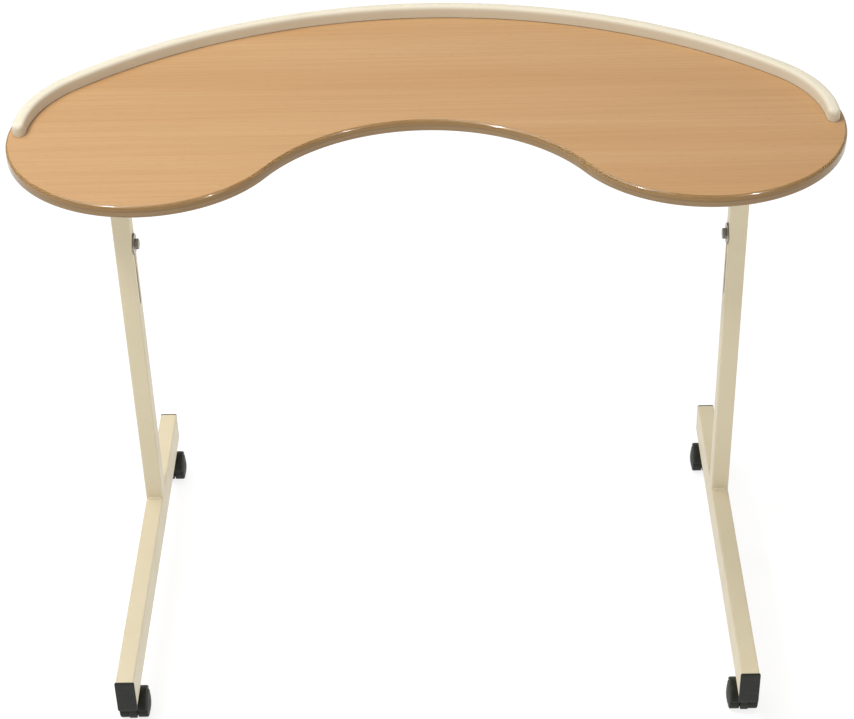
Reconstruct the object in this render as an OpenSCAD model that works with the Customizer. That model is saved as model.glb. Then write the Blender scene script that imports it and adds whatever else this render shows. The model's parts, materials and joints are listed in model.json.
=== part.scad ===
// Kidney-shaped overbed table on two wheeled side legs of adjustable height.
// The origin is on the floor, midway between the feet. +X runs along the tabletop,
// and -Y points to the user, who sits in the recess.

/* [Tabletop] */
// Distance between the centres of the two round end lobes
lobe_spacing = 700; // [660:5:760]
// Radius of each end lobe
lobe_radius = 180; // [170:5:190]
// Radius of the convex back edge
back_radius = 680; // [640:5:760]
// Radius of the recess that the user sits in
recess_radius = 230; // [215:5:260]
// Thickness of the finished board, both laminates included
board_thickness = 16; // [15:1:20]
// Thickness of each decorative laminate
laminate_thickness = 0.8; // [0.6:0.1:1.2]
// Thickness of the band round the board's edge
band_thickness = 3; // [2:0.5:4]
// Width of the raised rail along the back edge
rail_width = 16; // [14:1:20]
// Height of the raised rail above the board
rail_height = 17; // [14:1:22]
// Strip of board left outside the rail
rail_margin = 8; // [6:1:10]

/* [Frame] */
// Distance between the centrelines of the two feet
foot_spacing = 850; // [820:10:870]
// Length of each foot tube
foot_length = 600; // [580:10:660]
// Width of the foot, column and arm tubes
tube_width = 25; // [25:1:28]
// Height of the foot tube
foot_height = 50; // [45:1:60]
// Depth of the outer column, front to back
column_depth = 30; // [30:1:34]
// Wall thickness of every tube
tube_wall = 1.5; // [1.2:0.1:2]
// Distance of the column's centre behind the middle of the foot
column_setback = 108; // [100:1:110]
// Height of the board's top face above the floor, as set
table_height = 815; // [800:1:830]
// How far the table goes down from that setting
travel_down = 95; // [60:5:95]
// How far it goes up
travel_up = 12; // [6:1:14]

/* [Casters] */
// Diameter of the caster wheels
wheel_diameter = 40; // [38:1:42]
// Distance from the swivel axis back to the axle
caster_trail = 15; // [13:1:16]
// Height of the foot tube's underside above the floor
foot_clearance = 58; // [56:1:62]

/* [Hidden] */

$fn = 64;

// Signs of X and Y that place a left or right, front or rear piece
LEFT = -1;
RIGHT = 1;
FRONT = -1;
REAR = 1;

// Colours
cream = [0.91, 0.86, 0.73];
black = [0.16, 0.16, 0.15];
charcoal = [0.23, 0.23, 0.21];

// Right-hand leg's centreline
leg_x = foot_spacing / 2;

// Heights
board_under = table_height - board_thickness;
core_bottom = board_under + laminate_thickness;
core_top = table_height - laminate_thickness;
arm_height = 25;
arm_under = board_under - arm_height;
foot_top = foot_clearance + foot_height;

// Outline of the tabletop: two end lobes, the back arc that wraps them and the recess arc
// between them, each tangent to its neighbours
lobe_x = lobe_spacing / 2;
lobe_y = -37;
back_centre_y = lobe_y - sqrt(pow(back_radius - lobe_radius, 2) - pow(lobe_x, 2));
recess_centre_y = lobe_y - sqrt(pow(recess_radius + lobe_radius, 2) - pow(lobe_x, 2));
back_join = atan2(lobe_y - back_centre_y, lobe_x);
recess_join = atan2(lobe_y - recess_centre_y, lobe_x);

// The rail's centreline follows the back arc, then both lobes as far as its ends
rail_inset = rail_margin + rail_width / 2;
rail_path = back_radius - rail_inset;
rail_end_path = lobe_radius - rail_inset;
rail_end_angle = 0;

function arc(cx, cy, r, from, to, steps) =
    [for (i = [0 : steps]) let (a = from + (to - from) * i / steps) [cx + r * cos(a), cy + r * sin(a)]];

// The outline moved inwards by an inset, anticlockwise from the back's right-hand join
function kidney(inset) = concat(
    arc(0, back_centre_y, back_radius - inset, back_join, 180 - back_join, 84),
    arc(-lobe_x, lobe_y, lobe_radius - inset, 180 - back_join, 360 - recess_join, 60),
    arc(0, recess_centre_y, recess_radius + inset, 180 - recess_join, recess_join, 36),
    arc(lobe_x, lobe_y, lobe_radius - inset, recess_join - 180, back_join, 60)
);

// Outer corner radius of the tubes
tube_corner = 2.5;

// Column fits
column_bore = [tube_width - 2 * tube_wall, column_depth - 2 * tube_wall];
guide_gap = 0.3;
running_gap = 0.05;
inner_size = [20, 25];
plug_flange = 6;
bush_flange = 4;
bush_sleeve = 15;
bush_gap = 0.05;
column_top_gap = 8;
outer_column_top = arm_under - travel_down - bush_flange - column_top_gap;
inner_column_bottom = foot_top + 402;
bolt_z = foot_top + 446;
bolt_radius = 4;
slot_width = 9;
slot_bottom = bolt_z - travel_down - slot_width / 2 - 1;
slot_top = bolt_z + travel_up + slot_width / 2 + 1;
washer_radius = 15;
washer_thickness = 2;
bolt_head_height = 5.5;
nut_height = 6.5;
hex_across_flats = 13;
bolt_length = 15;
washer_face_x = leg_x - tube_width / 2 - guide_gap;

// Screws into the board and the rail
screw_radius = 2;
screw_gap = 0.1;
screw_head_radius = 4;
screw_head_height = 2.5;
board_bite = 13;
rail_bite = 12;
screw_tip_gap = 1;
groove_gap = 0.15;
access_radius = 5;

// Support arms and cross rail
arm_front = -150;
arm_back = column_setback + column_depth / 2;
arm_screw_y = [-120, -20, 60];
cross_screw_x = [-300, -100, 100, 300];
cap_thickness = 3;
foot_cap_front_lip = 1;
spigot_length = 14;
spigot_gap = 0.1;

// Casters: a hooded twin-wheel unit that trails behind its stem
caster_inset = 36;
stem_y = foot_length / 2 - caster_inset;
stem_radius = 5;
pintle_radius = 4;
pintle_bottom = 24;
pintle_tip_gap = 0.5;
boss_radius = 9;
boss_height = 12;
collar_bottom = 30;
swivel_gap = 3;
swivel_top = foot_clearance - swivel_gap;
stem_nut_flats = 14;
wheel_radius = wheel_diameter / 2;
wheel_centre_z = wheel_radius;
wheel_width = 16.5;
wheel_gap = 0.5;
wheel_dome = 3;
tread_round = 2;
tread_chamfer = 1.5;
housing_width = 11;
axle_radius = 3;
axle_fit_gap = 0.02;
axle_bore_depth = 13.5;
axle_length = housing_width + 2 * (wheel_gap + axle_bore_depth) - 1;
hood_inner = wheel_radius + 2;
hood_outer = hood_inner + 2.4;
hood_span = [38, 165];
hood_width = housing_width + 2 * (wheel_gap + wheel_width - wheel_dome);
collar_relief = hood_inner + 0.6;
spine_radius = hood_inner + 1.2;
spine_rear_radius = wheel_radius - 2;
spine_drop = wheel_radius - 12;

// ---- shared shapes ----

// Rounded rectangle centred on the origin
function rounded(size, r) = let (x = size[0] / 2 - r, y = size[1] / 2 - r) concat(
    arc(x, y, r, 0, 90, 5), arc(-x, y, r, 90, 180, 5), arc(-x, -y, r, 180, 270, 5), arc(x, -y, r, 270, 360, 5)
);

module tube(size, wall, length, corner = tube_corner) {
    linear_extrude(length)
        difference() {
            polygon(rounded(size, corner));
            polygon(rounded([size[0] - 2 * wall, size[1] - 2 * wall], corner - wall + 0.2));
        }
}

// Turns a shape drawn along +Z so that it lies along +Y
module along_y() {
    rotate([-90, 0, 0]) children();
}

// Turns a shape drawn along +Z so that it lies along +X
module along_x() {
    rotate([0, 90, 0]) children();
}

module hexagon_prism(across_flats, height) {
    cylinder(r = across_flats / sqrt(3), h = height, $fn = 6);
}

// ---- tabletop ----

// Places a shape at each screw that holds the rail, along the rail's centreline
rail_screw_count = 7;
rail_screw_span = [55, 125];
rail_end_screw_angle = 25;
module at_rail_screws(z) {
    for (i = [0 : rail_screw_count - 1])
        let (a = rail_screw_span[0] + i * (rail_screw_span[1] - rail_screw_span[0]) / (rail_screw_count - 1))
            translate([rail_path * cos(a), back_centre_y + rail_path * sin(a), z])
                children();
    for (side = [LEFT, RIGHT])
        translate([
            side * (lobe_x + rail_end_path * cos(rail_end_screw_angle)),
            lobe_y + rail_end_path * sin(rail_end_screw_angle),
            z
        ])
            children();
}

// Places a shape at each screw that holds the board to the frame
module at_frame_screws(z) {
    for (side = [LEFT, RIGHT], y = arm_screw_y)
        translate([side * foot_spacing / 2, y, z]) children();
    for (x = cross_screw_x)
        translate([x, column_setback, z]) children();
}

module screw_hole(depth) {
    cylinder(r = screw_radius + screw_gap, h = depth);
}

// A screw that points up, with its head under z = 0
module wood_screw(length) {
    cylinder(r = screw_radius, h = length);
    translate([0, 0, -screw_head_height])
        cylinder(r = screw_head_radius, h = screw_head_height);
}

// The rail's centreline as stations [x, y, heading, end turn]: the end turn is 0 along the rail
// and grows to RAIL_TIP over the rounded end
RAIL_TIP = 78;
function stations(cx, cy, r, from, to, steps) =
    [for (i = [0 : steps]) let (a = from + (to - from) * i / steps) [cx + r * cos(a), cy + r * sin(a), a, 0]];
function rail_tip(start, way) = [
    for (turn = [18 : 15 : RAIL_TIP])
        let (reach = way * rail_width / 2 * sin(turn))
            [start[0] - reach * sin(start[2]), start[1] + reach * cos(start[2]), start[2], turn]
];
function reversed(list) = [for (i = [len(list) - 1 : -1 : 0]) list[i]];

right_end = stations(lobe_x, lobe_y, rail_end_path, rail_end_angle, back_join, 12);
left_end = stations(-lobe_x, lobe_y, rail_end_path, 180 - back_join, 180 - rail_end_angle, 12);
back_run = stations(0, back_centre_y, rail_path, back_join, 180 - back_join, 40);
rail_stations = concat(
    reversed(rail_tip(right_end[0], -1)),
    right_end,
    [for (i = [1 : len(back_run) - 2]) back_run[i]],
    left_end,
    rail_tip(left_end[len(left_end) - 1], 1)
);

// The section at a station: straight flanks under a half-round top, shrinking over the rounded end
rail_flank = rail_height + laminate_thickness - rail_width / 2;
rail_section = concat([[1, 0, 0]], [for (a = [0 : 18 : 180]) [cos(a), 1, sin(a)]], [[-1, 0, 0]]);
function rail_ring(s) =
    let (r = rail_width / 2 * cos(s[3]))
    [for (p = rail_section) [
        s[0] + r * p[0] * cos(s[2]),
        s[1] + r * p[0] * sin(s[2]),
        core_top + rail_flank * p[1] + r * p[2]
    ]];

// The rail's footprint in plan, widened by a gap
function rail_side(way, gap) =
    [for (s = rail_stations) let (r = way * (rail_width / 2 * cos(s[3]) + gap))
        [s[0] + r * cos(s[2]), s[1] + r * sin(s[2])]];
function rail_footprint(gap) = concat(rail_side(1, gap), reversed(rail_side(-1, gap)));

module board_core() {
    color("burlywood")
        difference() {
            translate([0, 0, core_bottom])
                linear_extrude(core_top - core_bottom) polygon(kidney(band_thickness));
            at_rail_screws(board_under)
                screw_hole(board_thickness);
            at_frame_screws(board_under)
                screw_hole(board_bite);
        }
}

module top_laminate() {
    color([0.86, 0.69, 0.5])
        difference() {
            translate([0, 0, core_top])
                linear_extrude(laminate_thickness) polygon(kidney(band_thickness));
            translate([0, 0, core_top - 1])
                linear_extrude(laminate_thickness + 2) polygon(rail_footprint(groove_gap));
        }
}

module underside_laminate() {
    color([0.9, 0.88, 0.84])
        difference() {
            translate([0, 0, board_under])
                linear_extrude(laminate_thickness) polygon(kidney(band_thickness));
            at_rail_screws(board_under - 1)
                screw_hole(board_thickness);
            at_frame_screws(board_under - 1)
                screw_hole(board_bite);
        }
}

module edge_band() {
    color([0.63, 0.5, 0.34])
        translate([0, 0, board_under])
            linear_extrude(board_thickness)
                difference() {
                    polygon(kidney(0));
                    polygon(kidney(band_thickness));
                }
}

module gallery_rail() {
    ring = len(rail_section);
    count = len(rail_stations);
    color(cream)
        polyhedron(
            points = [for (s = rail_stations) each rail_ring(s)],
            faces = concat(
                [[for (i = [0 : ring - 1]) i]],
                [for (k = [0 : count - 2], i = [0 : ring - 1]) let (j = (i + 1) % ring)
                    [k * ring + i, (k + 1) * ring + i, (k + 1) * ring + j, k * ring + j]],
                [[for (i = [ring - 1 : -1 : 0]) (count - 1) * ring + i]]
            )
        );
}

module rail_screws() {
    color("silver")
        at_rail_screws(board_under)
            wood_screw(board_thickness + rail_bite - screw_tip_gap);
}

// ---- frame under the board ----

// Shapes drawn for the right-hand leg go to either side through this
module on_side(side) {
    mirror([side == LEFT ? 1 : 0, 0, 0]) children();
}

module support_arm() {
    color(cream)
        difference() {
            translate([leg_x, arm_front, arm_under + arm_height / 2])
                along_y() tube([tube_width, arm_height], tube_wall, arm_back - arm_front);
            at_frame_screws(board_under - arm_height / 2)
                screw_hole(arm_height);
            at_frame_screws(arm_under - 1)
                cylinder(r = access_radius, h = tube_wall + 2);
        }
}

module cross_rail() {
    color(cream)
        difference() {
            translate([-leg_x + tube_width / 2, column_setback, arm_under + arm_height / 2])
                along_x() tube([arm_height, tube_width], tube_wall, 2 * leg_x - tube_width);
            at_frame_screws(board_under - arm_height / 2)
                screw_hole(arm_height);
            at_frame_screws(arm_under - 1)
                cylinder(r = access_radius, h = tube_wall + 2);
        }
}

module frame_screws() {
    color("silver")
        at_frame_screws(board_under - tube_wall)
            wood_screw(tube_wall + board_bite - screw_tip_gap);
}

// A plug for the end of a tube of this size: plate from z = 0 up, wider by a lip all round, and
// spigot below it
module end_cap(size, lip) {
    linear_extrude(cap_thickness) polygon(rounded([for (s = size) s + 2 * lip], tube_corner));
    translate([0, 0, -spigot_length])
        linear_extrude(spigot_length)
            polygon(rounded([for (s = size) s - 2 * (tube_wall + spigot_gap)], 1));
}

module arm_end_caps() {
    color(black)
        for (side = [LEFT, RIGHT])
            on_side(side) {
                translate([leg_x, arm_back, arm_under + arm_height / 2])
                    along_y() end_cap([tube_width, arm_height], 0);
                translate([leg_x, arm_front, arm_under + arm_height / 2])
                    mirror([0, 1, 0]) along_y() end_cap([tube_width, arm_height], 0);
            }
}

module inner_column() {
    color(cream)
        difference() {
            translate([leg_x, column_setback, inner_column_bottom])
                tube(inner_size, tube_wall, arm_under - inner_column_bottom, 2);
            translate([leg_x - inner_size[0], column_setback, bolt_z])
                along_x() cylinder(r = bolt_radius + 0.5, h = inner_size[0]);
        }
}

module glide_plug() {
    color(black)
        translate([leg_x, column_setback, inner_column_bottom]) {
            translate([0, 0, -plug_flange])
                linear_extrude(plug_flange)
                    polygon(rounded([for (s = column_bore) s - 2 * guide_gap], 1.5));
            linear_extrude(spigot_length)
                polygon(rounded([for (s = inner_size) s - 2 * (tube_wall + spigot_gap)], 0.8));
        }
}

// ---- height clamp ----

module clamp_nut() {
    color("silver")
        translate([leg_x - inner_size[0] / 2 + tube_wall, column_setback, bolt_z])
            along_x()
                difference() {
                    hexagon_prism(hex_across_flats, nut_height);
                    translate([0, 0, -1])
                        cylinder(r = bolt_radius + running_gap, h = nut_height + 2);
                }
}

module lock_bolt() {
    color("dimgray")
        translate([washer_face_x - washer_thickness, column_setback, bolt_z])
            along_x() {
                translate([0, 0, -bolt_head_height])
                    hexagon_prism(hex_across_flats, bolt_head_height);
                cylinder(r = bolt_radius, h = bolt_length);
            }
}

module penny_washer() {
    color("silver")
        translate([washer_face_x - washer_thickness, column_setback, bolt_z])
            along_x()
                difference() {
                    cylinder(r = washer_radius, h = washer_thickness);
                    translate([0, 0, -1])
                        cylinder(r = bolt_radius + 0.3, h = washer_thickness + 2);
                }
}

// ---- legs ----

module outer_column() {
    color(cream)
        difference() {
            translate([leg_x, column_setback, foot_top])
                tube([tube_width, column_depth], tube_wall, outer_column_top - foot_top);
            translate([leg_x - tube_width / 2 - 1, column_setback, 0]) {
                translate([0, -slot_width / 2, slot_bottom + slot_width / 2])
                    cube([tube_wall + 2, slot_width, slot_top - slot_bottom - slot_width]);
                for (z = [slot_bottom + slot_width / 2, slot_top - slot_width / 2])
                    translate([0, 0, z])
                        along_x() cylinder(r = slot_width / 2, h = tube_wall + 2);
            }
        }
}

module column_bush() {
    color(black)
        translate([leg_x, column_setback, outer_column_top])
            difference() {
                union() {
                    linear_extrude(bush_flange)
                        polygon(rounded([tube_width, column_depth], tube_corner));
                    translate([0, 0, -bush_sleeve])
                        linear_extrude(bush_sleeve)
                            polygon(rounded([for (s = column_bore) s - 2 * bush_gap], 1.2));
                }
                translate([0, 0, -bush_sleeve - 1])
                    linear_extrude(bush_sleeve + bush_flange + 2)
                        polygon(rounded([for (s = inner_size) s + 2 * guide_gap], 2));
            }
}

module foot() {
    color(cream)
        difference() {
            translate([leg_x, -foot_length / 2, foot_clearance + foot_height / 2])
                along_y() tube([tube_width, foot_height], tube_wall, foot_length);
            for (end = [FRONT, REAR])
                translate([leg_x, end * stem_y, foot_clearance - 1])
                    cylinder(r = stem_radius + running_gap, h = tube_wall + 2);
        }
}

module foot_cap(end) {
    color(black)
        translate([leg_x, end * foot_length / 2, foot_clearance + foot_height / 2])
            mirror([0, end == FRONT ? 1 : 0, 0])
                along_y() end_cap([tube_width, foot_height], end == FRONT ? foot_cap_front_lip : 0);
}

module caster_bosses() {
    color("silver")
        for (end = [FRONT, REAR])
            translate([leg_x, end * stem_y, foot_clearance + tube_wall])
                difference() {
                    cylinder(r = boss_radius, h = boss_height);
                    translate([0, 0, -1])
                        cylinder(r = stem_radius + running_gap, h = boss_height + 2);
                }
}

// ---- casters ----

// Places a shape drawn about the swivel axis at one end of the right-hand foot
module at_caster(end) {
    translate([leg_x, end * stem_y, 0]) children();
}

module caster_stem() {
    color("silver") {
        translate([0, 0, foot_clearance])
            cylinder(r = stem_radius, h = tube_wall + boss_height - 1);
        translate([0, 0, swivel_top + guide_gap])
            hexagon_prism(stem_nut_flats, swivel_gap - guide_gap);
        translate([0, 0, pintle_bottom])
            cylinder(r = pintle_radius, h = swivel_top + guide_gap - pintle_bottom);
    }
}

// Side views of the hood over the wheels and of the spine between them, with the axle at the
// origin and the back of the caster towards +X
hood_profile = concat(
    arc(0, 0, hood_outer, hood_span[0], hood_span[1], 24),
    arc(0, 0, hood_inner, hood_span[1], hood_span[0], 24)
);
spine_profile = concat(
    arc(0, 0, spine_rear_radius, -asin(spine_drop / spine_rear_radius), 20, 8),
    arc(0, 0, spine_radius, hood_span[0], 180 + asin(spine_drop / spine_radius), 30)
);

// Stands a side view upright over the axle, centred on the caster's width
module side_slab(width, profile) {
    translate([-width / 2, caster_trail, wheel_centre_z])
        rotate([90, 0, 90]) linear_extrude(width) polygon(profile);
}

// The collar that turns on the stem, cut away over the wheels
module caster_collar() {
    difference() {
        translate([0, 0, collar_bottom])
            cylinder(r = boss_radius, h = swivel_top - collar_bottom);
        for (side = [LEFT, RIGHT])
            translate([side * (housing_width / 2 + wheel_width), caster_trail, wheel_centre_z])
                rotate([0, 90, 0]) cylinder(r = collar_relief, h = 2 * wheel_width, center = true);
    }
}

module caster_housing() {
    color(charcoal)
        difference() {
            union() {
                side_slab(hood_width, hood_profile);
                side_slab(housing_width, spine_profile);
                caster_collar();
            }
            translate([0, 0, pintle_bottom - pintle_tip_gap])
                cylinder(r = pintle_radius + running_gap, h = swivel_top);
            translate([-housing_width, caster_trail, wheel_centre_z])
                along_x() cylinder(r = axle_radius + axle_fit_gap, h = 2 * housing_width);
        }
}

module caster_axle() {
    color("silver")
        translate([-axle_length / 2, caster_trail, wheel_centre_z])
            along_x() cylinder(r = axle_radius, h = axle_length);
}

// Half section of a wheel as [radius, distance from its inner face]: rounded tread, domed outer
// face and a blind bore for the axle
dome_edge = wheel_radius - tread_round;
dome_radius = (pow(dome_edge, 2) + pow(wheel_dome, 2)) / (2 * wheel_dome);
wheel_section = concat(
    [[axle_radius + running_gap, 0], [wheel_radius - tread_chamfer, 0], [wheel_radius, tread_chamfer]],
    arc(dome_edge, wheel_width - wheel_dome - tread_round, tread_round, 0, 90, 8),
    arc(0, wheel_width - dome_radius, dome_radius, acos(dome_edge / dome_radius) + 2, 90, 8),
    [[0, axle_bore_depth], [axle_radius + running_gap, axle_bore_depth]]
);

module caster_wheel(side) {
    color(charcoal)
        translate([side * (housing_width / 2 + wheel_gap), caster_trail, wheel_centre_z])
            rotate([0, side * 90, 0]) rotate_extrude($fn = 96) polygon(wheel_section);
}

board_core();
top_laminate();
underside_laminate();
edge_band();
gallery_rail();
rail_screws();
on_side(LEFT) support_arm();  // left_support_arm
on_side(RIGHT) support_arm();  // right_support_arm
arm_end_caps();
cross_rail();
frame_screws();
on_side(LEFT) inner_column();  // left_inner_column
on_side(RIGHT) inner_column();  // right_inner_column
on_side(LEFT) glide_plug();  // left_glide_plug
on_side(RIGHT) glide_plug();  // right_glide_plug
on_side(LEFT) clamp_nut();  // left_clamp_nut
on_side(RIGHT) clamp_nut();  // right_clamp_nut
on_side(LEFT) lock_bolt();  // left_lock_bolt
on_side(RIGHT) lock_bolt();  // right_lock_bolt
on_side(LEFT) penny_washer();  // left_penny_washer
on_side(RIGHT) penny_washer();  // right_penny_washer
on_side(LEFT) outer_column();  // left_outer_column
on_side(RIGHT) outer_column();  // right_outer_column
on_side(LEFT) column_bush();  // left_column_bush
on_side(RIGHT) column_bush();  // right_column_bush
on_side(LEFT) foot();  // left_foot
on_side(RIGHT) foot();  // right_foot
on_side(LEFT) foot_cap(FRONT);  // left_front_foot_cap
on_side(LEFT) foot_cap(REAR);  // left_rear_foot_cap
on_side(RIGHT) foot_cap(FRONT);  // right_front_foot_cap
on_side(RIGHT) foot_cap(REAR);  // right_rear_foot_cap
on_side(LEFT) caster_bosses();  // left_caster_bosses
on_side(RIGHT) caster_bosses();  // right_caster_bosses
on_side(LEFT) at_caster(FRONT) caster_stem();  // left_front_caster_stem
on_side(LEFT) at_caster(REAR) caster_stem();  // left_rear_caster_stem
on_side(RIGHT) at_caster(FRONT) caster_stem();  // right_front_caster_stem
on_side(RIGHT) at_caster(REAR) caster_stem();  // right_rear_caster_stem
on_side(LEFT) at_caster(FRONT) caster_housing();  // left_front_caster_housing
on_side(LEFT) at_caster(REAR) caster_housing();  // left_rear_caster_housing
on_side(RIGHT) at_caster(FRONT) caster_housing();  // right_front_caster_housing
on_side(RIGHT) at_caster(REAR) caster_housing();  // right_rear_caster_housing
on_side(LEFT) at_caster(FRONT) caster_axle();  // left_front_caster_axle
on_side(LEFT) at_caster(REAR) caster_axle();  // left_rear_caster_axle
on_side(RIGHT) at_caster(FRONT) caster_axle();  // right_front_caster_axle
on_side(RIGHT) at_caster(REAR) caster_axle();  // right_rear_caster_axle
on_side(LEFT) at_caster(FRONT) caster_wheel(RIGHT);  // left_front_outer_wheel
on_side(LEFT) at_caster(FRONT) caster_wheel(LEFT);  // left_front_inner_wheel
on_side(LEFT) at_caster(REAR) caster_wheel(RIGHT);  // left_rear_outer_wheel
on_side(LEFT) at_caster(REAR) caster_wheel(LEFT);  // left_rear_inner_wheel
on_side(RIGHT) at_caster(FRONT) caster_wheel(RIGHT);  // right_front_outer_wheel
on_side(RIGHT) at_caster(FRONT) caster_wheel(LEFT);  // right_front_inner_wheel
on_side(RIGHT) at_caster(REAR) caster_wheel(RIGHT);  // right_rear_outer_wheel
on_side(RIGHT) at_caster(REAR) caster_wheel(LEFT);  // right_rear_inner_wheel
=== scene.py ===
"""Kidney-shaped overbed table on two wheeled legs: its looks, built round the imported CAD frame."""

import json
import math

import bmesh
import bpy
from mathutils import Matrix, Vector


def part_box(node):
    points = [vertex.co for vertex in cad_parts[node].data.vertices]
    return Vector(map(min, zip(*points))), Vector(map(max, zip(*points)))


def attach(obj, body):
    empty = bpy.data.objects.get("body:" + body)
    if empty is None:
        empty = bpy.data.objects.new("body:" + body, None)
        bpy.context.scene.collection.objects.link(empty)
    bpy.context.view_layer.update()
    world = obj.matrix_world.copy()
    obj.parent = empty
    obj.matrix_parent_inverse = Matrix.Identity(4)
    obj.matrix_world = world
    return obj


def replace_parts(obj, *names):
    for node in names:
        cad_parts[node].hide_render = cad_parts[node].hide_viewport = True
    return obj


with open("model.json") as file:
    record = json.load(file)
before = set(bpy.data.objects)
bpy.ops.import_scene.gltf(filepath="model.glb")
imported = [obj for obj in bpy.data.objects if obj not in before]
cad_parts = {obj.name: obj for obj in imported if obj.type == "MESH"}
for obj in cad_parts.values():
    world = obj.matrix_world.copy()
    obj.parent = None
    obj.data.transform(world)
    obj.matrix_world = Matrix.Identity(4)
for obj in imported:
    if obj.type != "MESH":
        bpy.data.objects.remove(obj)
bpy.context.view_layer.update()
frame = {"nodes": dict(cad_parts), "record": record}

MM = 0.001
SIDES = {"left": -1, "right": 1}  # which way along X
ENDS = {"front": -1, "rear": 1}  # which way along Y
SMOOTH_ANGLE = math.radians(40)
TURNED_STEPS = 64


# ---- camera ----

# Place and clip in metres, angles in radians, lens and sensor in millimetres.
CAMERA_PLACE = (0.0422, -2.4110, 2.1727)
CAMERA_PITCH = 0.6271
CAMERA_YAW = 0.0203
CAMERA_ROLL = -0.0289
CAMERA_CLIP = 60.0
CAMERA_LENS = 90.8
SENSOR_WIDTH = 36.0


def make_camera():
    """The viewpoint that was fitted to the photograph."""
    data = bpy.data.cameras.new("camera")
    data.lens = CAMERA_LENS
    data.sensor_width = SENSOR_WIDTH
    data.clip_end = CAMERA_CLIP
    camera = bpy.data.objects.new("camera", data)
    camera.matrix_world = (
        Matrix.Translation(CAMERA_PLACE)
        @ Matrix.Rotation(CAMERA_YAW, 4, "Z")
        @ Matrix.Rotation(math.pi / 2 - CAMERA_PITCH, 4, "X")
        @ Matrix.Rotation(CAMERA_ROLL, 4, "Z")
    )
    bpy.context.scene.collection.objects.link(camera)
    bpy.context.scene.camera = camera


# ---- mesh tools ----


def new_piece(name, vertices, faces, material_names):
    """A mesh object with outward normals, smooth but for its sharp edges."""
    mesh = bpy.data.meshes.new(name)
    mesh.from_pydata([tuple(v) for v in vertices], [], faces)
    shape = bmesh.new()
    shape.from_mesh(mesh)
    bmesh.ops.recalc_face_normals(shape, faces=shape.faces)
    shape.to_mesh(mesh)
    shape.free()
    mesh.shade_smooth()
    mesh.set_sharp_from_angle(angle=SMOOTH_ANGLE)
    for material_name in material_names:
        mesh.materials.append(MATERIALS[material_name])
    piece = bpy.data.objects.new(name, mesh)
    bpy.context.scene.collection.objects.link(piece)
    flat = piece.modifiers.new("flat_faces", "WEIGHTED_NORMAL")
    flat.keep_sharp = True
    return piece


def skin(rings, closed=False, caps=True):
    """Vertices and faces of a skin over rings that all have the same number of points. A closed
    skin joins the last ring to the first."""
    count = len(rings[0])
    vertices = [point for ring in rings for point in ring]
    pairs = [(k, k + 1) for k in range(len(rings) - 1)]
    if closed:
        pairs.append((len(rings) - 1, 0))
    faces = [
        (a * count + i, a * count + (i + 1) % count, b * count + (i + 1) % count, b * count + i)
        for a, b in pairs
        for i in range(count)
    ]
    if caps and not closed:
        last = (len(rings) - 1) * count
        faces.append(tuple(range(count - 1, -1, -1)))
        faces.append(tuple(range(last, last + count)))
    return vertices, faces


def joined(parts):
    """One list of vertices and one of faces from several skins."""
    vertices, faces = [], []
    for more_vertices, more_faces in parts:
        shift = len(vertices)
        vertices += more_vertices
        faces += [tuple(i + shift for i in face) for face in more_faces]
    return vertices, faces


def arc(cx, cy, radius, start, end, steps):
    """Points of an arc between two angles in degrees."""
    angles = [math.radians(start + (end - start) * i / steps) for i in range(steps + 1)]
    return [(cx + radius * math.cos(a), cy + radius * math.sin(a)) for a in angles]


def circle(radius, steps=TURNED_STEPS):
    return arc(0, 0, radius, 0, 360 - 360 / steps, steps - 1)


def rounded_rectangle(width, depth, radius, steps=6):
    x, y = width / 2 - radius, depth / 2 - radius
    return (
        arc(x, y, radius, 0, 90, steps)
        + arc(-x, y, radius, 90, 180, steps)
        + arc(-x, -y, radius, 180, 270, steps)
        + arc(x, -y, radius, 270, 360, steps)
    )


def bevelled(depth, radius, steps=4):
    """Section of an outline's solid from 0 to depth with both rims rounded: (inset, height)."""
    low = [(radius - x, radius - y) for x, y in arc(0, 0, radius, 90, 0, steps)]
    return low + [(inset, depth - height) for inset, height in reversed(low)]


def top_bevelled(depth, radius, steps=4):
    """The same with only the upper rim rounded."""
    upper = [(radius - x, depth - radius + y) for x, y in arc(0, 0, radius, 0, 90, steps)]
    return [(0, 0)] + upper


def stack(outline, section, place):
    """Rings of an outline that takes an inset, one for each (inset, height) of the section."""
    return [[place(x, y, height) for x, y in outline(inset)] for inset, height in section]


def about_z(cx, cy, cz, up=1):
    return lambda x, y, h: (cx + x, cy + y, cz + up * h)


def about_y(cx, cy, cz, way=1):
    return lambda x, y, h: (cx + x, cy + way * h, cz + y)


def about_x(cx, cy, cz, way=1):
    return lambda x, y, h: (cx + way * h, cy + x, cz + y)


def lathe(section, place, steps=TURNED_STEPS):
    """Rings of a turned shape: section is (radius, height) from one end to the other."""
    return [[place(x, y, height) for x, y in circle(radius, steps)] for radius, height in section]


# ---- materials ----

MATERIALS = {}


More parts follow.
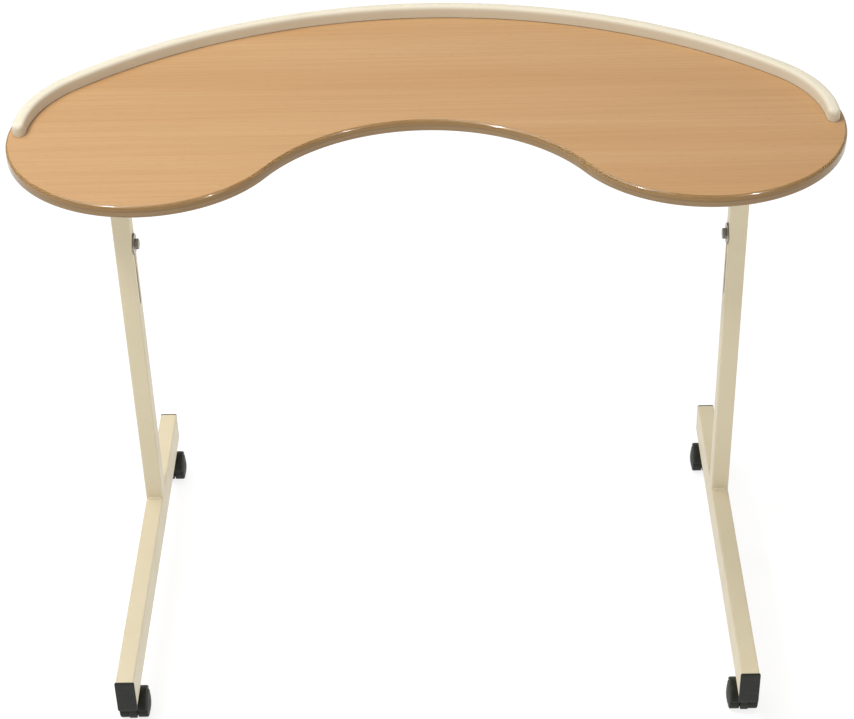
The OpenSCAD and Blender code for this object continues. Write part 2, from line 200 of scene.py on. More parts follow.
class Look:
    """A material under construction, with short calls for its nodes."""

    def __init__(self, name, **sockets):
        self.material = bpy.data.materials.new(name)
        self.material.use_nodes = True
        self.tree = self.material.node_tree
        self.shader = self.tree.nodes["Principled BSDF"]
        for socket, value in sockets.items():
            self.shader.inputs[socket.replace("_", " ")].default_value = value
        self.place = self.tree.nodes.new("ShaderNodeTexCoord").outputs["Object"]
        MATERIALS[name] = self.material

    def node(self, kind, inputs=None, **settings):
        made = self.tree.nodes.new(kind)
        for key, value in settings.items():
            setattr(made, key, value)
        for key, value in (inputs or {}).items():
            self.feed(made.inputs[key], value)
        return made

    def feed(self, socket, value):
        """Link another node's output to the socket, or set the socket to a plain value."""
        if isinstance(value, bpy.types.NodeSocket):
            self.tree.links.new(value, socket)
        else:
            socket.default_value = value

    def noise(self, per_metre, detail=3.0, roughness=0.55):
        """Noise with so many features a metre along x, y and z."""
        scaled = self.node("ShaderNodeMapping", {"Vector": self.place, "Scale": per_metre})
        settings = {
            "Vector": scaled.outputs["Vector"],
            "Scale": 1.0,
            "Detail": detail,
            "Roughness": roughness,
        }
        return self.node("ShaderNodeTexNoise", settings).outputs["Fac"]

    def spread(self, value, low, high, to_low=0.0, to_high=1.0):
        """The value with low..high stretched over to_low..to_high."""
        settings = {
            "Value": value,
            "From Min": low,
            "From Max": high,
            "To Min": to_low,
            "To Max": to_high,
        }
        return self.node("ShaderNodeMapRange", settings).outputs["Result"]

    def mix(self, share, first, second):
        """Two colours mixed; each is a colour or a socket."""
        made = self.node("ShaderNodeMix", data_type="RGBA")
        colours = [s for s in made.inputs if s.type == "RGBA"]
        factor = [s for s in made.inputs if s.type == "VALUE"][0]
        for socket, value in ((factor, share), (colours[0], first), (colours[1], second)):
            if socket.type == "RGBA" and not isinstance(value, bpy.types.NodeSocket):
                value = (*value, 1.0)
            self.feed(socket, value)
        return [s for s in made.outputs if s.type == "RGBA"][0]

    def axes(self):
        """The surface point's x, y and z in metres."""
        return self.node("ShaderNodeSeparateXYZ", {"Vector": self.place}).outputs

    def maths(self, operation, first, second):
        made = self.node("ShaderNodeMath", operation=operation)
        for socket, value in zip(made.inputs, (first, second)):
            self.feed(socket, value)
        return made.outputs["Value"]

    def colour(self, value):
        self.tree.links.new(value, self.shader.inputs["Base Color"])

    def roughness(self, value):
        self.tree.links.new(value, self.shader.inputs["Roughness"])

    def bump(self, height, distance, strength=1.0):
        inputs = {"Height": height, "Distance": distance, "Strength": strength}
        made = self.node("ShaderNodeBump", inputs)
        self.tree.links.new(made.outputs["Normal"], self.shader.inputs["Normal"])


def beech_laminate():
    """Satin beech-look sheet: broad soft bands, fine straight grain along X, short pore flecks."""
    look = Look("beech_laminate", Specular_IOR_Level=0.4)
    bands = look.noise((0.9, 16, 1), 2.0)
    grain = look.noise((3.5, 260, 1), 4.0, 0.6)
    flecks = look.noise((75, 950, 1), 1.0)
    light, dark, warm = (0.510, 0.306, 0.143), (0.400, 0.222, 0.095), (0.474, 0.268, 0.117)
    tone = look.mix(look.spread(bands, 0.35, 0.68), light, warm)
    tone = look.mix(look.spread(grain, 0.42, 0.78, 0.0, 0.55), tone, dark)
    tone = look.mix(look.spread(flecks, 0.66, 0.78, 0.0, 0.5), tone, (0.30, 0.145, 0.062))
    look.colour(tone)
    look.roughness(look.spread(grain, 0.3, 0.7, 0.36, 0.46))
    look.bump(grain, 0.00004, 0.6)


def chipboard():
    """Pressed wood chips, hidden inside the laminates."""
    look = Look("chipboard", Roughness=0.9)
    chips = look.noise((260, 260, 420), 3.0, 0.7)
    look.colour(look.mix(look.spread(chips, 0.35, 0.65), (0.42, 0.27, 0.14), (0.72, 0.54, 0.33)))
    look.bump(chips, 0.0004)


def backing_laminate():
    """The underside's plain pale sheet, with a faint mottle."""
    look = Look("backing_laminate")
    mottle = look.noise((90, 90, 90), 4.0)
    look.colour(look.mix(look.spread(mottle, 0.3, 0.7), (0.74, 0.71, 0.64), (0.82, 0.79, 0.72)))
    look.roughness(look.spread(mottle, 0.3, 0.7, 0.55, 0.68))
    look.bump(look.noise((1400, 1400, 1400), 2.0), 0.00005)


def edge_band():
    """Lacquered wood edge in two layers, a brown one over a paler one, glossy enough for glints,
    with painted shade along its bottom rim.
    """
    look = Look("edge_band", Specular_IOR_Level=0.05, Coat_Weight=0.65, Coat_Roughness=0.05)
    lines = look.noise((5, 5, 620), 3.0, 0.6)
    cloud = look.noise((22, 22, 60), 2.0)
    low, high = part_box("edge_band")
    height = look.spread(look.axes()["Z"], low.z, high.z)
    upper = look.spread(height, 0.50, 0.56)
    tone = look.mix(upper, (0.335, 0.222, 0.115), (0.328, 0.190, 0.072))
    tone = look.mix(look.spread(lines, 0.40, 0.70, 0.0, 0.6), tone, (0.215, 0.124, 0.044))
    tone = look.mix(look.spread(cloud, 0.3, 0.75, 0.0, 0.35), tone, (0.270, 0.166, 0.062))
    # Two dark lines: a dark joint between the layers, and painted shade along the bottom rim.
    for middle, depth in ((0.53, 0.4), (0.03, 0.7)):
        offset = look.maths("ABSOLUTE", look.maths("SUBTRACT", height, middle), 0.0)
        tone = look.mix(look.spread(offset, 0.0, 0.07, depth, 0.0), tone, (0.150, 0.088, 0.036))
    look.colour(tone)
    look.roughness(look.spread(lines, 0.3, 0.7, 0.22, 0.34))
    look.bump(lines, 0.00005)


def cream_coat(name, base, shade, gloss):
    """Cream finish with a slight orange peel and a faint, broad variation in tone."""
    look = Look(name, Specular_IOR_Level=0.3)
    tone = look.noise((14, 14, 14), 3.0)
    dust = look.noise((240, 240, 240), 2.0)
    mixed = look.mix(look.spread(tone, 0.3, 0.7, 0.0, 0.6), base, shade)
    darker = tuple(0.86 * c for c in shade)
    look.colour(look.mix(look.spread(dust, 0.62, 0.8, 0.0, 0.35), mixed, darker))
    look.roughness(look.spread(tone, 0.3, 0.7, gloss, gloss + 0.1))
    look.bump(look.noise((520, 520, 520), 1.0), 0.00006, 0.5)
    return look


TUBE_WALL = 1.3 * MM


def coated_tube():
    """The same cream finish on the outer columns; inside the bore a near-black colour that is partly
    bare steel and partly painted shade, which darkens the slot.
    """
    look = cream_coat("coated_tube", (0.735, 0.645, 0.455), (0.695, 0.602, 0.412), 0.34)
    x, y, _ = look.axes()
    low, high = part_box("right_outer_column")
    centre, half = (low + high) / 2, (high - low) / 2 - Vector((1, 1, 0)) * TUBE_WALL
    across = look.maths("SUBTRACT", look.maths("ABSOLUTE", x, 0.0), centre.x)
    along = look.maths("SUBTRACT", y, centre.y)
    inside = look.maths(
        "MULTIPLY",
        look.maths("LESS_THAN", look.maths("ABSOLUTE", across, 0.0), half.x),
        look.maths("LESS_THAN", look.maths("ABSOLUTE", along, 0.0), half.y),
    )
    coat = look.shader.inputs["Base Color"].links[0].from_socket
    rust = look.noise((90, 90, 90), 3.0)
    # Near-black bore colour: bare steel, made darker still as painted shade seen through the slot.
    steel = look.mix(look.spread(rust, 0.35, 0.7), (0.030, 0.027, 0.023), (0.052, 0.040, 0.030))
    look.colour(look.mix(inside, coat, steel))


def moulded_plastic(name, base, light, grain, gloss):
    """Dark moulded plastic with a fine spark-eroded grain and scuffs."""
    look = Look(name, Specular_IOR_Level=0.26)
    scuffs = look.noise((60, 60, 180), 4.0, 0.7)
    look.colour(look.mix(look.spread(scuffs, 0.45, 0.8), base, light))
    look.roughness(look.spread(scuffs, 0.3, 0.7, gloss, gloss + 0.14))
    look.bump(look.noise((grain, grain, grain), 2.0), 0.00008)


def zinc_steel():
    """Zinc-plated steel, dulled in patches."""
    look = Look("zinc_steel", Metallic=1.0)
    patches = look.noise((120, 120, 120), 4.0, 0.65)
    look.colour(look.mix(look.spread(patches, 0.3, 0.7), (0.43, 0.41, 0.35), (0.22, 0.20, 0.155)))
    look.roughness(look.spread(patches, 0.3, 0.7, 0.24, 0.42))
    look.bump(look.noise((900, 900, 90), 1.0), 0.00002)


FLOOR_GLOW = 0.82


def pale_floor():
    """A plain floor with next to no texture."""
    look = Look("pale_floor", Roughness=0.9, Specular_IOR_Level=0.1, Emission_Strength=FLOOR_GLOW)
    look.shader.inputs["Emission Color"].default_value = (1.0, 1.0, 1.0, 1.0)
    cloud = look.noise((0.7, 0.7, 0.7), 1.0)
    look.colour(look.mix(look.spread(cloud, 0.3, 0.7), (0.27, 0.27, 0.27), (0.28, 0.28, 0.28)))


def make_materials():
    beech_laminate()
    chipboard()
    backing_laminate()
    edge_band()
    cream_coat("cream_rail", (0.706, 0.646, 0.514), (0.658, 0.598, 0.462), 0.46)
    cream_coat("cream_powder_coat", (0.735, 0.645, 0.455), (0.695, 0.602, 0.412), 0.34)
    coated_tube()
    moulded_plastic("black_plastic", (0.016, 0.018, 0.014), (0.034, 0.037, 0.028), 1500, 0.38)
    moulded_plastic("charcoal_plastic", (0.014, 0.015, 0.011), (0.033, 0.035, 0.026), 1100, 0.42)
    moulded_plastic("tyre_rubber", (0.016, 0.017, 0.013), (0.035, 0.036, 0.028), 700, 0.62)
    zinc_steel()
    pale_floor()


def dress_cad_nodes():
    """Every CAD node that stays takes the material of its slot in the record; the outer columns take
    the coated tube, whose bore holds painted shade.
    """
    for row in frame["record"]["subparts"]:
        node = frame["nodes"][row["node"]]
        node.data.materials.clear()
        bored = row["node"].endswith("outer_column")
        node.data.materials.append(MATERIALS["coated_tube" if bored else row["material_slot"]])


# ---- tabletop ----

BACK_RADIUS = 0.680
LOBE_RADIUS = 0.180
RECESS_RADIUS = 0.230
BAND_THICKNESS = 3 * MM
BAND_TUCK = 0.3 * MM
TUCK_HEIGHTS = (2 * MM, 1 * MM)
TOP_ROUND = 4 * MM
UNDER_ROUND = 2.8 * MM
BACK_STEPS = 120
LOBE_STEPS = 90
RECESS_STEPS = 60
RAIL_MARGIN = 8 * MM
RAIL_WIDTH = 16 * MM
RAIL_HEIGHT = 17 * MM
RAIL_SQUARENESS = 3.0
RAIL_FOOT = 0.6 * MM
RAIL_DOME_STEPS = 16
RAIL_BACK_STEPS = 90
RAIL_END_STEPS = 24
NOSE_TURNS = range(8, 90, 9)  # degrees round each rounded end


class Board:
    """The tabletop's outline, found from the CAD edge band's box and the three radii."""

    low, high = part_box("edge_band")
    lobe_x = high.x - LOBE_RADIUS
    lobe_y = low.y + LOBE_RADIUS
    back_y = lobe_y - math.sqrt((BACK_RADIUS - LOBE_RADIUS) ** 2 - lobe_x**2)
    recess_y = lobe_y - math.sqrt((RECESS_RADIUS + LOBE_RADIUS) ** 2 - lobe_x**2)
    back_join = math.degrees(math.atan2(lobe_y - back_y, lobe_x))
    recess_join = math.degrees(math.atan2(lobe_y - recess_y, lobe_x))


def kidney(inset):
    """The tabletop's outline moved inwards by an inset, anticlockwise."""
    b = Board
    back, lobe, recess = BACK_RADIUS - inset, LOBE_RADIUS - inset, RECESS_RADIUS + inset
    arcs = [
        (0, b.back_y, back, b.back_join, 180 - b.back_join, BACK_STEPS),
        (-b.lobe_x, b.lobe_y, lobe, 180 - b.back_join, 360 - b.recess_join, LOBE_STEPS),
        (0, b.recess_y, recess, 180 - b.recess_join, b.recess_join, RECESS_STEPS),
        (b.lobe_x, b.lobe_y, lobe, b.recess_join - 180, b.back_join, LOBE_STEPS),
    ]
    return [point for run in arcs for point in arc(*run)[:-1]]


def edge_lipping():
    """The band round the board. Both outer rims are rounded, and the crown runs a little way in
    under the laminate."""
    depth = Board.high.z - Board.low.z
    tucked = BAND_THICKNESS + BAND_TUCK
    crown_end = math.degrees(math.acos(1 - tucked / TOP_ROUND))
    under = arc(0, 0, UNDER_ROUND, 90, 0, 6)
    crown = arc(0, 0, TOP_ROUND, 0, crown_end, 10)
    section = [(UNDER_ROUND - x, UNDER_ROUND - y) for x, y in under]
    section += [(TOP_ROUND - x, depth - TOP_ROUND + y) for x, y in crown]
    section += [(tucked, TUCK_HEIGHTS[0]), (BAND_THICKNESS, TUCK_HEIGHTS[1]), (BAND_THICKNESS, 0)]
    rings = stack(kidney, section, about_z(0, 0, Board.low.z))
    piece = new_piece("edge_lipping", *skin(rings, closed=True), ["edge_band"])
    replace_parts(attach(piece, "tabletop"), "edge_band")


def rail_stations():
    """Places along the rail's centreline as (x, y, outward angle, share of the full section)."""
    b = Board
    inset = RAIL_MARGIN + RAIL_WIDTH / 2
    runs = [
        (b.lobe_x, b.lobe_y, LOBE_RADIUS - inset, 0, b.back_join, RAIL_END_STEPS),
        (0, b.back_y, BACK_RADIUS - inset, b.back_join, 180 - b.back_join, RAIL_BACK_STEPS),
        (-b.lobe_x, b.lobe_y, LOBE_RADIUS - inset, 180 - b.back_join, 180, RAIL_END_STEPS),
    ]
    stations = []
    for cx, cy, radius, start, end, steps in runs:
        for i, (x, y) in enumerate(arc(cx, cy, radius, start, end, steps)):
            stations.append((x, y, math.radians(start + (end - start) * i / steps), 1.0))
    noses = []
    for (x, y, angle, _), way in ((stations[0], -1), (stations[-1], 1)):
        nose = []
        for turn in NOSE_TURNS:
            reach = way * RAIL_WIDTH / 2 * math.sin(math.radians(turn))
            place = (x - reach * math.sin(angle), y + reach * math.cos(angle))
            nose.append((*place, angle, math.cos(math.radians(turn))))
        noses.append(nose)
    return noses[0][::-1] + stations + noses[1]


def rail_section(share):
    """(across, up) points of the rail's section: upright flanks, a rounded top and a small
    chamfer at the foot. The section shrinks with its share over the rounded ends."""
    half = RAIL_WIDTH / 2 * share
    flank = RAIL_HEIGHT - RAIL_WIDTH / 2
    power = 2 / RAIL_SQUARENESS
    foot = min(RAIL_FOOT, half / 3)
    points = [(half - foot, 0), (half, foot)]
    for i in range(RAIL_DOME_STEPS + 1):
        angle = math.pi * i / RAIL_DOME_STEPS
        across, up = math.cos(angle), math.sin(angle)
        reach = math.copysign(abs(across) ** power, across) * half
        points.append((reach, flank + half * abs(up) ** power))
    return points + [(-half, foot), (-half + foot, 0)]


def rail_moulding():
    """The raised rail on the back of the board."""
    base = Board.high.z
    rings = [
        [
            (x + across * math.cos(angle), y + across * math.sin(angle), base + up)
            for across, up in rail_section(share)
        ]
        for x, y, angle, share in rail_stations()
    ]
    piece = new_piece("rail_moulding", *skin(rings), ["cream_rail"])
    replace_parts(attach(piece, "tabletop"), "gallery_rail")


# ---- plugs and collars ----


PLUG_CORNER = 2.5 * MM
PLUG_LEAST_CORNER = 0.4 * MM
PLUG_RIM = 0.8 * MM
PLUG_DOME = 0.3 * MM


def plug_rings(width, depth, thickness, place):
    """A tube plug's plate: rounded rim and a slightly domed face."""
    section = top_bevelled(thickness - PLUG_DOME, PLUG_RIM)
    section += [(2.5 * MM, thickness - 0.12 * MM), (5 * MM, thickness)]

    def outline(inset):
        radius = max(PLUG_CORNER - inset, PLUG_LEAST_CORNER)
        return rounded_rectangle(width - 2 * inset, depth - 2 * inset, radius)

    return stack(outline, section, place)


def foot_plug(side, end):
    """The plug in one end of a foot."""
    node = f"{side}_{end}_foot_cap"
    low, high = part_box(node)
    foot_low, foot_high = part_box(f"{side}_foot")
    way = ENDS[end]
    face = foot_high.y if way > 0 else foot_low.y
    outer = high.y if way > 0 else low.y
    centre = (low + high) / 2
    size = (high.x - low.x, high.z - low.z, abs(outer - face))
    rings = plug_rings(*size, about_y(centre.x, face, centre.z, way))
    piece = new_piece(f"{side}_{end}_foot_plug", *skin(rings), ["black_plastic"])
    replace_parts(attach(piece, f"{side}_leg"), node)


def arm_plugs():
    """The four plugs in the ends of the support arms."""
    parts = []
    cap_low, cap_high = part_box("arm_end_caps")
    for side in SIDES:
        low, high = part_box(f"{side}_support_arm")
        centre = (low + high) / 2
        for way, face, outer in ((-1, low.y, cap_low.y), (1, high.y, cap_high.y)):
            place = about_y(centre.x, face, centre.z, way)
            size = (high.x - low.x, high.z - low.z, abs(outer - face))
            parts.append(skin(plug_rings(*size, place)))
    piece = new_piece("arm_plugs", *joined(parts), ["black_plastic"])
    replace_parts(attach(piece, "tabletop"), "arm_end_caps")


BUSH_FLANGE = 4 * MM
BUSH_ROUND = 1 * MM
BUSH_CORNER = 2.5 * MM
SLEEVE_INSET = 1.55 * MM
SLEEVE_CORNER = 1 * MM
GUIDE_GAP = 0.3 * MM
GUIDE_CORNER = 2 * MM
GUIDE_FLARE = 0.6 * MM


def column_collar(side):
    """The bush that guides the inner column: its sleeve and the rounded flange on top of it."""
    low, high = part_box(f"{side}_column_bush")
    inner_low, inner_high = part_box(f"{side}_inner_column")
    centre = (low + high) / 2
    size = (high.x - low.x, high.y - low.y)
    hole = [inner_high[i] - inner_low[i] + 2 * GUIDE_GAP for i in (0, 1)]
    height = high.z - low.z
    sleeve = high.z - BUSH_FLANGE - low.z

    def outline(shrink):
        corner = max(BUSH_CORNER - shrink, SLEEVE_CORNER)
        return rounded_rectangle(size[0] - 2 * shrink, size[1] - 2 * shrink, corner)

    def bore(widen):
        return rounded_rectangle(hole[0] + 2 * widen, hole[1] + 2 * widen, GUIDE_CORNER + widen)

    place = about_z(centre.x, centre.y, low.z)
    flange = top_bevelled(BUSH_FLANGE, BUSH_ROUND)
    outside = [(SLEEVE_INSET, 0), (SLEEVE_INSET, sleeve)]
    outside += [(inset, sleeve + up) for inset, up in flange]
    inside = [(GUIDE_FLARE, height), (0, height - GUIDE_FLARE), (0, 0)]
    rings = stack(outline, outside, place) + stack(bore, inside, place)
    piece = new_piece(f"{side}_column_collar", *skin(rings, closed=True), ["black_plastic"])
    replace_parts(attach(piece, f"{side}_leg"), f"{side}_column_bush")


# ---- height clamps ----

WASHER_BORE = 4.3 * MM
WASHER_ROUND = 0.5 * MM
HEAD_ACROSS_FLATS = 13 * MM
HEAD_CHAMFER = math.radians(30)
HEAD_CHAMFER_START = 0.97  # this and the next two are shares of half the width across flats
HEAD_FACE = 0.95
HEAD_DISH = 0.72
HEAD_DISH_DEPTH = 0.4 * MM
SHANK_RADIUS = 4 * MM
SHANK_TIP_RADIUS = 3.2 * MM
SHANK_TIP = 1 * MM
BOLT_STEPS = 48


def washer(side):
    """A wide penny washer against the slotted face, with rounded rims."""
    low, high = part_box(f"{side}_penny_washer")
    centre = (low + high) / 2
    way = SIDES[side]
    start = low.x if way > 0 else high.x
    radius, thickness = (high.z - low.z) / 2, high.x - low.x
    rims = bevelled(thickness, WASHER_ROUND, 3)
    section = [(radius - inset, height) for inset, height in rims]
    section += [(WASHER_BORE, thickness), (WASHER_BORE, 0)]
    rings = lathe(section, about_x(start, centre.y, centre.z, way))
    piece = new_piece(f"{side}_clamp_washer", *skin(rings, closed=True), ["zinc_steel"])
    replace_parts(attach(piece, f"{side}_clamp"), f"{side}_penny_washer")


def hexagon_radius(across_flats, angle):
    """Distance from the centre to a hexagon's edge in a direction."""
    folded = (angle % (math.pi / 3)) - math.pi / 6
    return across_flats / 2 / math.cos(folded)


def bolt(side):
    """The lock bolt: a hexagon head with its corners chamfered off, and the shank."""
    low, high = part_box(f"{side}_lock_bolt")
    washer_low, washer_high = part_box(f"{side}_penny_washer")
    centre = (low + high) / 2
    way = SIDES[side]
    seat, top, tip = (washer_low.x, low.x, high.x) if way > 0 else (washer_high.x, high.x, low.x)
    head, shank = abs(seat - top), abs(tip - seat)
    place = about_x(seat, centre.y, centre.z, -way)
    flats = HEAD_ACROSS_FLATS / 2

    def head_ring(height, slope):
        """The hexagon at a height, its corners lowered by the slope."""
        ring = []
        for i in range(BOLT_STEPS):
            angle = 2 * math.pi * i / BOLT_STEPS
            radius = hexagon_radius(HEAD_ACROSS_FLATS, angle)
            drop = max(0.0, radius - HEAD_CHAMFER_START * flats) * slope
            ring.append(place(radius * math.cos(angle), radius * math.sin(angle), height - drop))
        return ring

    rings = [head_ring(0, 0.0), head_ring(head, math.tan(HEAD_CHAMFER))]
    face = [(HEAD_FACE * flats, head), (HEAD_DISH * flats, head - HEAD_DISH_DEPTH)]
    rings += lathe(face, place, BOLT_STEPS)
    stem = [(SHANK_RADIUS, 0), (SHANK_RADIUS, -shank + SHANK_TIP), (SHANK_TIP_RADIUS, -shank)]
    parts = [skin(rings), skin(lathe(stem, place, BOLT_STEPS))]
    piece = new_piece(f"{side}_clamp_bolt", *joined(parts), ["zinc_steel"])
    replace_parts(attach(piece, f"{side}_clamp"), f"{side}_lock_bolt")


# ---- welds ----

WELD_RIPPLE = 1.3 * MM
WELD_RIPPLE_SHARE = 0.14
WELD_STEP = 0.35 * MM
WELD_ARC_STEPS = 6
WELD_HOLLOW = 0.22
WELD_END_SHARE = 0.35
WELD_TAPER = 6
BEAD_RADIUS = 3 * MM
THIN_BEAD_RADIUS = 2.2 * MM


def weld_bead(start, end, first, second, radius):
    """A rippled fillet along the corner line from start to end, between two outward directions."""
    start, end, first, second = (Vector(v) for v in (start, end, first, second))
    length = (end - start).length
    steps = max(8, round(length / WELD_STEP))
    rings = []
    for k in range(steps + 1):
        share = k / steps
        ripple = abs(math.sin(math.pi * share * length / WELD_RIPPLE))
        swell = 1 - WELD_RIPPLE_SHARE + WELD_RIPPLE_SHARE * ripple
        taper = min(1.0, WELD_END_SHARE + WELD_TAPER * min(share, 1 - share))
        reach = radius * swell * taper
        centre = start.lerp(end, share)
        ring = [centre]
        for i in range(WELD_ARC_STEPS + 1):
            angle = math.pi / 2 * i / WELD_ARC_STEPS
            flatter = 1 - WELD_HOLLOW * math.sin(2 * angle)
            towards = math.cos(angle) * first + math.sin(angle) * second
            ring.append(centre + reach * flatter * towards)
        rings.append([tuple(p) for p in ring])
    return skin(rings)


def column_welds(side):
    """Beads that join the outer column to the foot, at its front and back."""
    low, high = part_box(f"{side}_outer_column")
    inset = 3 * MM
    parts = []
    for y, way in ((low.y, -1), (high.y, 1)):
        start, end = (low.x + inset, y, low.z), (high.x - inset, y, low.z)
        parts.append(weld_bead(start, end, (0, way, 0), (0, 0, 1), BEAD_RADIUS))
    piece = new_piece(f"{side}_column_welds", *joined(parts), ["cream_powder_coat"])
    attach(piece, f"{side}_leg")


def arm_welds(side):
    """Beads round the inner column's head and where the cross rail meets the arm."""
    low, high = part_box(f"{side}_inner_column")
    inset = 2 * MM
    parts = []
    for y, way in ((low.y, -1), (high.y, 1)):
        start, end = (low.x + inset, y, high.z), (high.x - inset, y, high.z)
        parts.append(weld_bead(start, end, (0, way, 0), (0, 0, -1), BEAD_RADIUS))
    for x, way in ((low.x, -1), (high.x, 1)):
        start, end = (x, low.y + inset, high.z), (x, high.y - inset, high.z)
        parts.append(weld_bead(start, end, (way, 0, 0), (0, 0, -1), THIN_BEAD_RADIUS))
    rail_low, rail_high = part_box("cross_rail")
    x = rail_high.x if SIDES[side] > 0 else rail_low.x
    for y, way in ((rail_low.y, -1), (rail_high.y, 1)):
        start, end = (x, y, rail_low.z + inset), (x, y, rail_high.z - inset)
        parts.append(weld_bead(start, end, (0, way, 0), (-SIDES[side], 0, 0), BEAD_RADIUS))
    piece = new_piece(f"{side}_arm_welds", *joined(parts), ["cream_powder_coat"])
    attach(piece, "tabletop")


# ---- casters ----

WHEEL_RADIUS = 20 * MM
WHEEL_WIDTH = 16.5 * MM
WHEEL_DOME = 3 * MM
WHEEL_STEPS = 96
TREAD_ROUND = 2 * MM
COVER_GROOVE = 0.8 * MM
COVER_STEPS = 14
COVER_RING = (6, 7)  # points of the cover's section that lie in its ring groove
COVER_RING_DEPTH = 0.3 * MM
HOUSING_WIDTH = 11 * MM
HOOD_INNER = 22 * MM
HOOD_OUTER = 24.4 * MM
HOOD_LIP = 1.5 * MM
HOOD_LIP_WIDTH = 2.0 * MM
HOOD_LIP_ROOT = 3.4 * MM
HOOD_FOOT = 0.4 * MM
HOOD_SHOULDER = 3.0 * MM
HOOD_TUCK = 0.5 * MM
HOOD_SPAN = (38, 165)  # degrees about the axle, from the rear
HOOD_END_TURN = 4
HOOD_END_ROUND = 0.8 * MM
HOOD_ENDS = ((1.0, 0.0), (0.55, 0.9), (0.2, 1.9), (0.0, 3.4))  # (share of rounding, degrees)
HOOD_STEPS = 30
SPINE_RADIUS = 23.2 * MM
SPINE_REAR_RADIUS = 18 * MM
SPINE_REAR_TOP = 20
SPINE_DROP = 8 * MM
SHELL_ROUND = 0.8 * MM
COLLAR_RADIUS = 9 * MM
COLLAR_HEIGHT = 25 * MM
COLLAR_STEPS = 48
NECK_INSET = 0.6 * MM
STEM_HOLE_RADIUS = 4.2 * MM
STEM_HOLE_DEPTH = 4 * MM


def hood_section(half, slim):
    """(across, out) points of the hood's section: rounded shoulders and a lip down each side."""
    side, inner, outer = half - slim, HOOD_INNER + slim, HOOD_OUTER - slim
    lip, shoulder = inner - HOOD_LIP, HOOD_SHOULDER - slim
    right = [(side - HOOD_LIP_ROOT, inner), (side - HOOD_LIP_WIDTH, lip)]
    right += [(side - HOOD_FOOT, lip), (side, lip + HOOD_FOOT)]
    right += arc(side - shoulder, outer - shoulder, shoulder, 0, 90, 6)
    return right + [(-across, out) for across, out in reversed(right)]


def hood_rings(centre, width):
    """The curved hood over both wheels, all its edges rounded."""
    low, high = HOOD_SPAN
    first, span = low + HOOD_END_TURN, high - low - 2 * HOOD_END_TURN
    stops = [(low + turn, shrink) for shrink, turn in HOOD_ENDS]
    stops += [(first + span * i / HOOD_STEPS, 0.0) for i in range(HOOD_STEPS + 1)]
    stops += [(high - turn, shrink) for shrink, turn in reversed(HOOD_ENDS)]
    rings = []
    for angle, shrink in stops:
        rear, up = math.cos(math.radians(angle)), math.sin(math.radians(angle))
        rings.append([
            (centre.x + across, centre.y + out * rear, centre.z + out * up)
            for across, out in hood_section(width / 2, HOOD_END_ROUND * shrink)
        ])
    return rings


def spine_outline(inset):
    """Side view of the slab between the wheels: flat below the axle, and set in at the back."""
    front, rear, drop = SPINE_RADIUS - inset, SPINE_REAR_RADIUS - inset, SPINE_DROP - inset
    rear_dip, front_dip = (math.degrees(math.asin(drop / radius)) for radius in (rear, front))
    back = arc(0, 0, rear, -rear_dip, SPINE_REAR_TOP, 12)
    return back + arc(0, 0, front, HOOD_SPAN[0], 180 + front_dip, 40)


def caster_shell(caster, body):
    """The caster's housing: the hood, the spine between the wheels and the collar on the stem."""
    low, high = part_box(f"{caster}_housing")
    axle_low, axle_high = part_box(f"{caster}_axle")
    stem_low, stem_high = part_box(f"{caster}_stem")
    axle = (axle_low + axle_high) / 2
    stem = (stem_low + stem_high) / 2
    spine_place = about_x(axle.x - HOUSING_WIDTH / 2, axle.y, axle.z)
    top = high.z
    collar = [
        (COLLAR_RADIUS - NECK_INSET, top - COLLAR_HEIGHT),
        (COLLAR_RADIUS - NECK_INSET, top - 3.6 * MM),
        (COLLAR_RADIUS, top - 3.0 * MM),
        (COLLAR_RADIUS, top - SHELL_ROUND),
        (COLLAR_RADIUS - 0.25 * MM, top - 0.25 * MM),
        (COLLAR_RADIUS - SHELL_ROUND, top),
        (STEM_HOLE_RADIUS, top),
        (STEM_HOLE_RADIUS, top - STEM_HOLE_DEPTH),
    ]
    parts = [
        skin(hood_rings(axle, high.x - low.x - 2 * HOOD_TUCK)),
        skin(stack(spine_outline, bevelled(HOUSING_WIDTH, SHELL_ROUND), spine_place)),
        skin(lathe(collar, about_z(stem.x, stem.y, 0), COLLAR_STEPS)),
    ]
    piece = new_piece(f"{caster}_shell", *joined(parts), ["charcoal_plastic"])
    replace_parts(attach(piece, body), f"{caster}_housing")


def wheel_section():
    """(radius, height) from the bore in the inner face to the tyre's outer shoulder."""
    edge, height = WHEEL_RADIUS - TREAD_ROUND, WHEEL_WIDTH - WHEEL_DOME - TREAD_ROUND
    inner = [(3.1 * MM, 0.4 * MM), (7 * MM, 0.4 * MM), (8 * MM, 1.2 * MM), (14.5 * MM, 1.2 * MM)]
    inner += [(15.5 * MM, 0), (WHEEL_RADIUS - 0.6 * MM, 0), (WHEEL_RADIUS - 0.15 * MM, 0.2 * MM)]
    return inner + [(WHEEL_RADIUS, 0.6 * MM)] + arc(edge, height, TREAD_ROUND, 0, 80, 8)


def cover_section():
    """(radius, height) of the domed cover, from the groove inside the tyre to the centre."""
    outer, rim = WHEEL_RADIUS - TREAD_ROUND, WHEEL_WIDTH - WHEEL_DOME
    points = [(outer, rim - COVER_GROOVE), (outer - 0.5 * MM, rim - COVER_GROOVE)]
    for i in range(COVER_STEPS):
        share = 1 - i / COVER_STEPS
        height = WHEEL_WIDTH - WHEEL_DOME * share**2
        ring = COVER_RING_DEPTH if i in COVER_RING else 0
        points.append(((outer - 0.6 * MM) * share, height - ring))
    return points


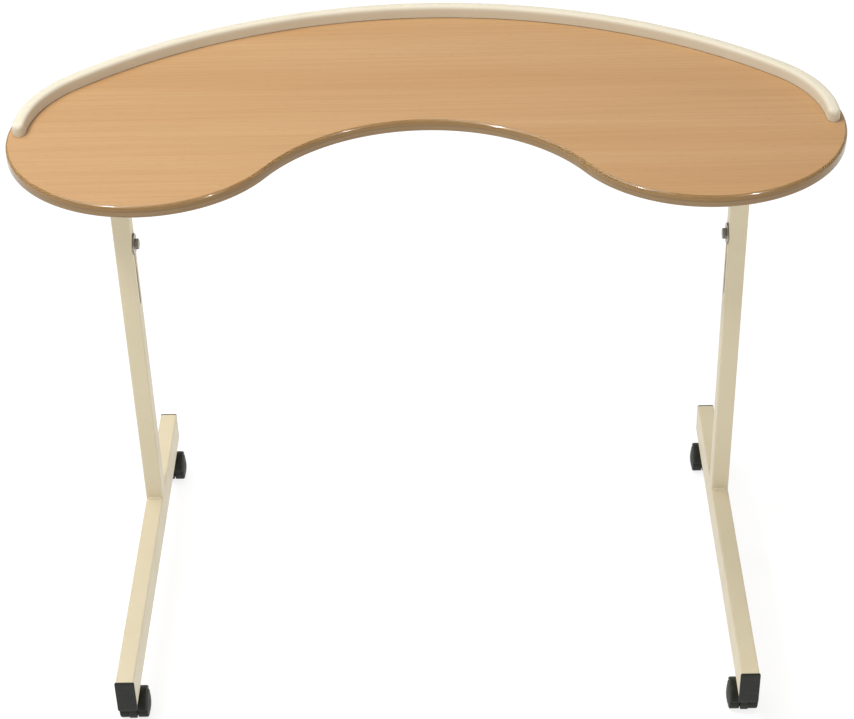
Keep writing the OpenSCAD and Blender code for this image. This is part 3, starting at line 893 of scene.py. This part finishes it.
def wheel(caster, which):
    """A wheel: rubber on the tread, and plastic on the hub and the domed cover."""
    node = f"{caster}_{which}_wheel".replace("_caster", "")
    low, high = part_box(node)
    housing_low, housing_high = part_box(f"{caster}_housing")
    middle = (housing_low.x + housing_high.x) / 2
    centre = (low + high) / 2
    way = 1 if centre.x > middle else -1
    start = low.x if way > 0 else high.x
    place = about_x(start, centre.y, centre.z, way)
    section = wheel_section() + cover_section()
    vertices, faces = skin(lathe(section, place, WHEEL_STEPS), caps=False)
    closing = tuple(range(len(vertices) - WHEEL_STEPS, len(vertices)))
    bore = tuple(range(WHEEL_STEPS - 1, -1, -1))
    materials = ["tyre_rubber", "charcoal_plastic"]
    piece = new_piece(f"{node}_tyre", vertices, faces + [closing, bore], materials)
    split = WHEEL_RADIUS - TREAD_ROUND - 0.1 * MM
    for face in piece.data.polygons:
        reach = math.hypot(face.center.y - centre.y, face.center.z - centre.z)
        face.material_index = 1 if reach < split else 0
    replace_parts(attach(piece, node), node)


# ---- stage ----

FLOOR_REACH = 14.0
WORLD_STRENGTH = 0.40
OVERHEAD = {"place": (-1.3, 0.4, 4.0), "target": (0, 0.1, 0), "size": (2.8, 2.4), "power": 90}
LAMPS = {"left": ((-1.18, -0.93, 2.7), 22), "right": ((1.80, -1.64, 2.8), 11)}
LAMP_TARGET = (0, 0, 0.6)
LAMP_SIZE = (0.3, 0.3)
GLINT_SIZE = (0.16, 0.16)
GLINT_POWER = 190


def make_floor():
    """A large square floor at height 0."""
    r = FLOOR_REACH
    mesh = bpy.data.meshes.new("floor")
    mesh.from_pydata([(-r, -r, 0), (r, -r, 0), (r, r, 0), (-r, r, 0)], [], [(0, 1, 2, 3)])
    mesh.materials.append(MATERIALS["pale_floor"])
    floor = bpy.data.objects.new("floor", mesh)
    bpy.context.scene.collection.objects.link(floor)


def area_light(name, place, target, size, power):
    """A rectangular lamp at a place, turned to face the target."""
    data = bpy.data.lights.new(name, "AREA")
    data.shape = "RECTANGLE"
    data.size, data.size_y = size
    data.energy = power
    light = bpy.data.objects.new(name, data)
    light.location = place
    light.rotation_euler = (Vector(target) - Vector(place)).to_track_quat("-Z", "Y").to_euler()
    bpy.context.scene.collection.objects.link(light)
    return light


def make_lights():
    """White surroundings, an overhead lamp, and a lamp on each side with a glint lamp in the same
    place. The glint lamps light only the edge band and show there only as reflections."""
    world = bpy.data.worlds.new("studio")
    world.use_nodes = True
    background = world.node_tree.nodes["Background"]
    background.inputs["Color"].default_value = (1.0, 1.0, 1.0, 1.0)
    background.inputs["Strength"].default_value = WORLD_STRENGTH
    bpy.context.scene.world = world
    area_light("overhead", **OVERHEAD)
    lipping = bpy.data.collections.new("glint_receivers")
    lipping.objects.link(bpy.data.objects["edge_lipping"])
    for side, (place, power) in LAMPS.items():
        area_light(f"{side}_lamp", place, LAMP_TARGET, LAMP_SIZE, power)
        glint = area_light(f"{side}_glint", place, LAMP_TARGET, GLINT_SIZE, GLINT_POWER)
        glint.visible_diffuse = False
        glint.light_linking.receiver_collection = lipping
    bpy.context.scene.view_settings.view_transform = "Standard"


# ---- the whole object ----


def build():
    make_materials()
    dress_cad_nodes()
    edge_lipping()
    rail_moulding()
    arm_plugs()
    for side in SIDES:
        column_collar(side)
        washer(side)
        bolt(side)
        column_welds(side)
        arm_welds(side)
        for end in ENDS:
            foot_plug(side, end)
            caster = f"{side}_{end}_caster"
            caster_shell(caster, caster)
            for which in ("outer", "inner"):
                wheel(caster, which)


make_camera()
build()
make_floor()
make_lights()
